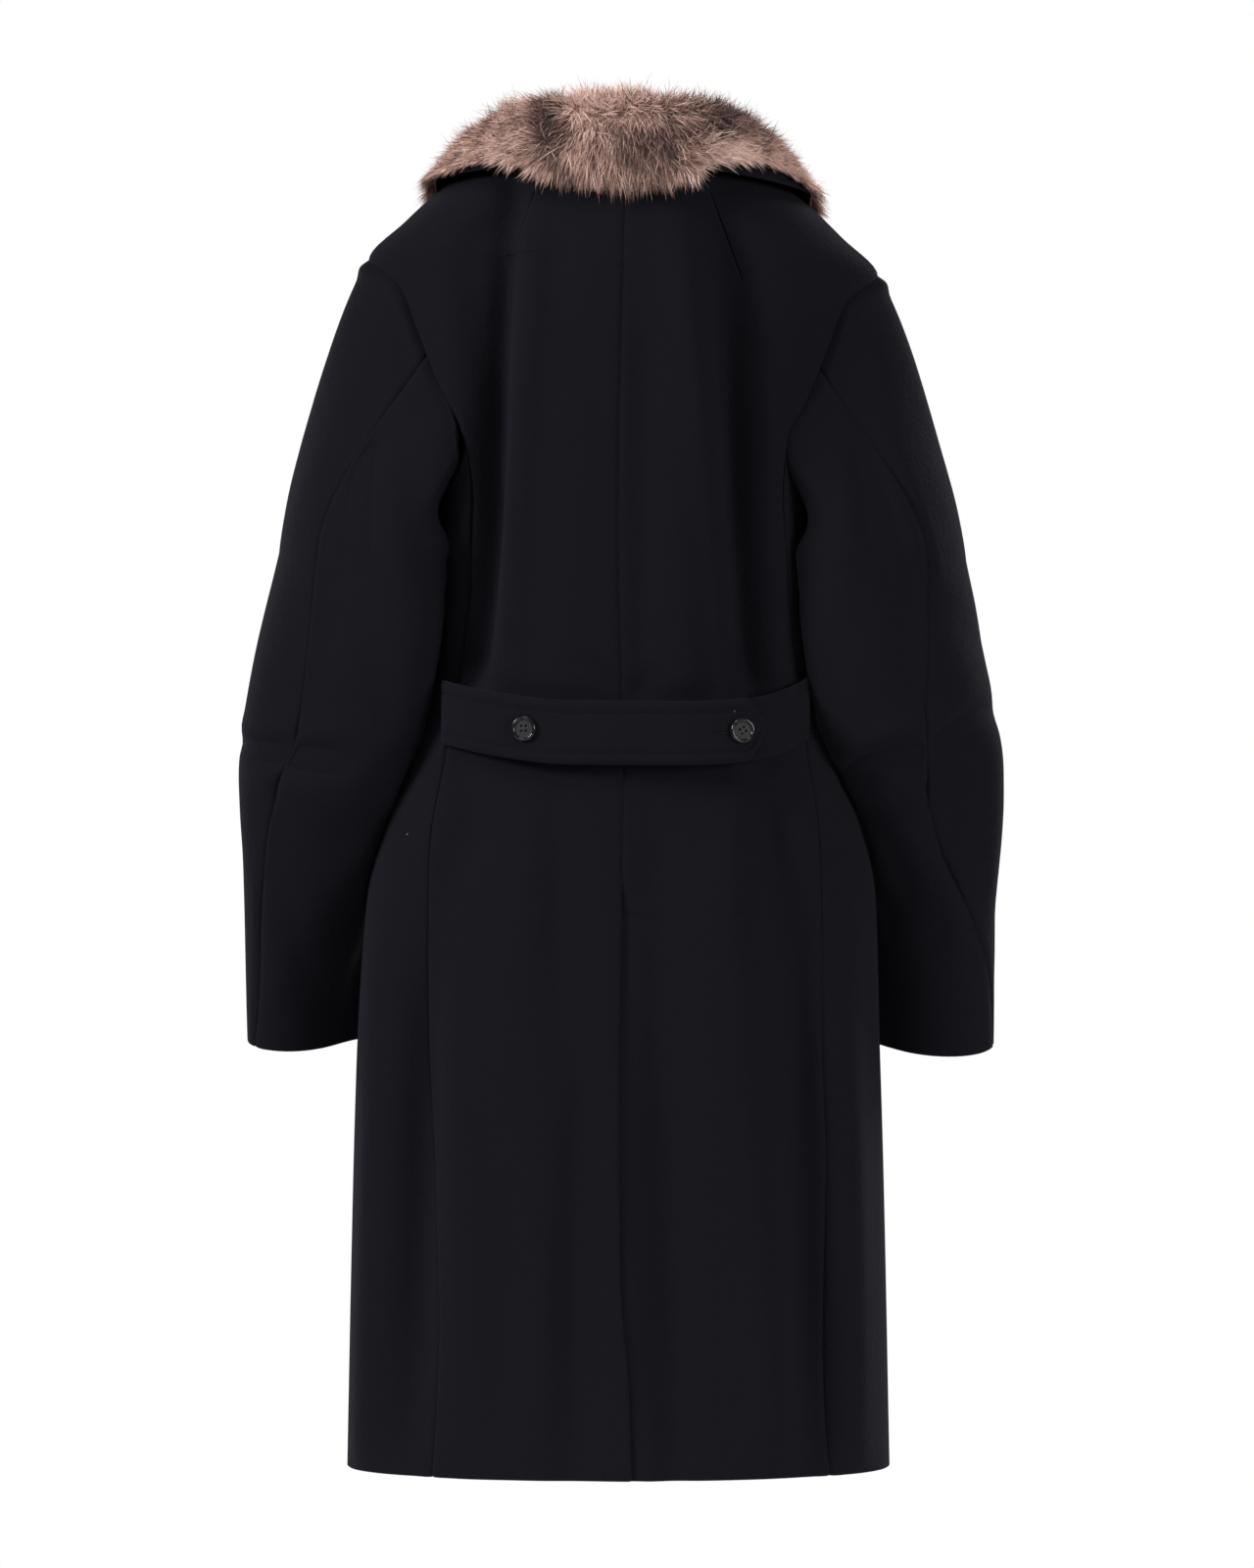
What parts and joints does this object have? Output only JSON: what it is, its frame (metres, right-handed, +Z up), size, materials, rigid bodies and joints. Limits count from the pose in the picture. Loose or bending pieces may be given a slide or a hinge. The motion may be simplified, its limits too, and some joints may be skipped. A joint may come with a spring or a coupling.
{
  "type": "double-breasted military greatcoat",
  "caption": "Long black wool double-breasted greatcoat, hollow as if worn, with a turned-down fur collar, buttoned half belt and back vent",
  "frame": {"origin": "Middle of the neck, level with the place where the coat sits on the wearer's shoulders", "axes": "+Z up along the coat's length, +Y towards the wearer's back, +X towards the wearer's left"},
  "size_m": [0.6243, 0.276, 1.1102],
  "materials": {
    "melton": "milled black wool with a short soft nap",
    "fur": "long dusty pink and brown fur with dark tips",
    "horn": "polished dark horn"
  },
  "bodies": {
    "root": {"back_left": "melton", "side_panel_left": "melton", "front_left": "melton", "lapel_left": "melton", "top_sleeve_left": "melton", "under_sleeve_left": "melton", "back_right": "melton", "side_panel_right": "melton", "front_right": "melton", "lapel_right": "melton", "top_sleeve_right": "melton", "under_sleeve_right": "melton", "under_collar": "melton", "fur_collar": "fur", "belt_left": "melton", "belt_right": "melton", "belt_button_left": "horn", "belt_button_right": "horn", "front_button_left_1": "horn", "front_button_right_1": "horn", "front_button_left_2": "horn", "front_button_right_2": "horn", "front_button_left_3": "horn", "front_button_right_3": "horn", "front_button_left_4": "horn", "front_button_right_4": "horn"}
  },
  "joints": []
}
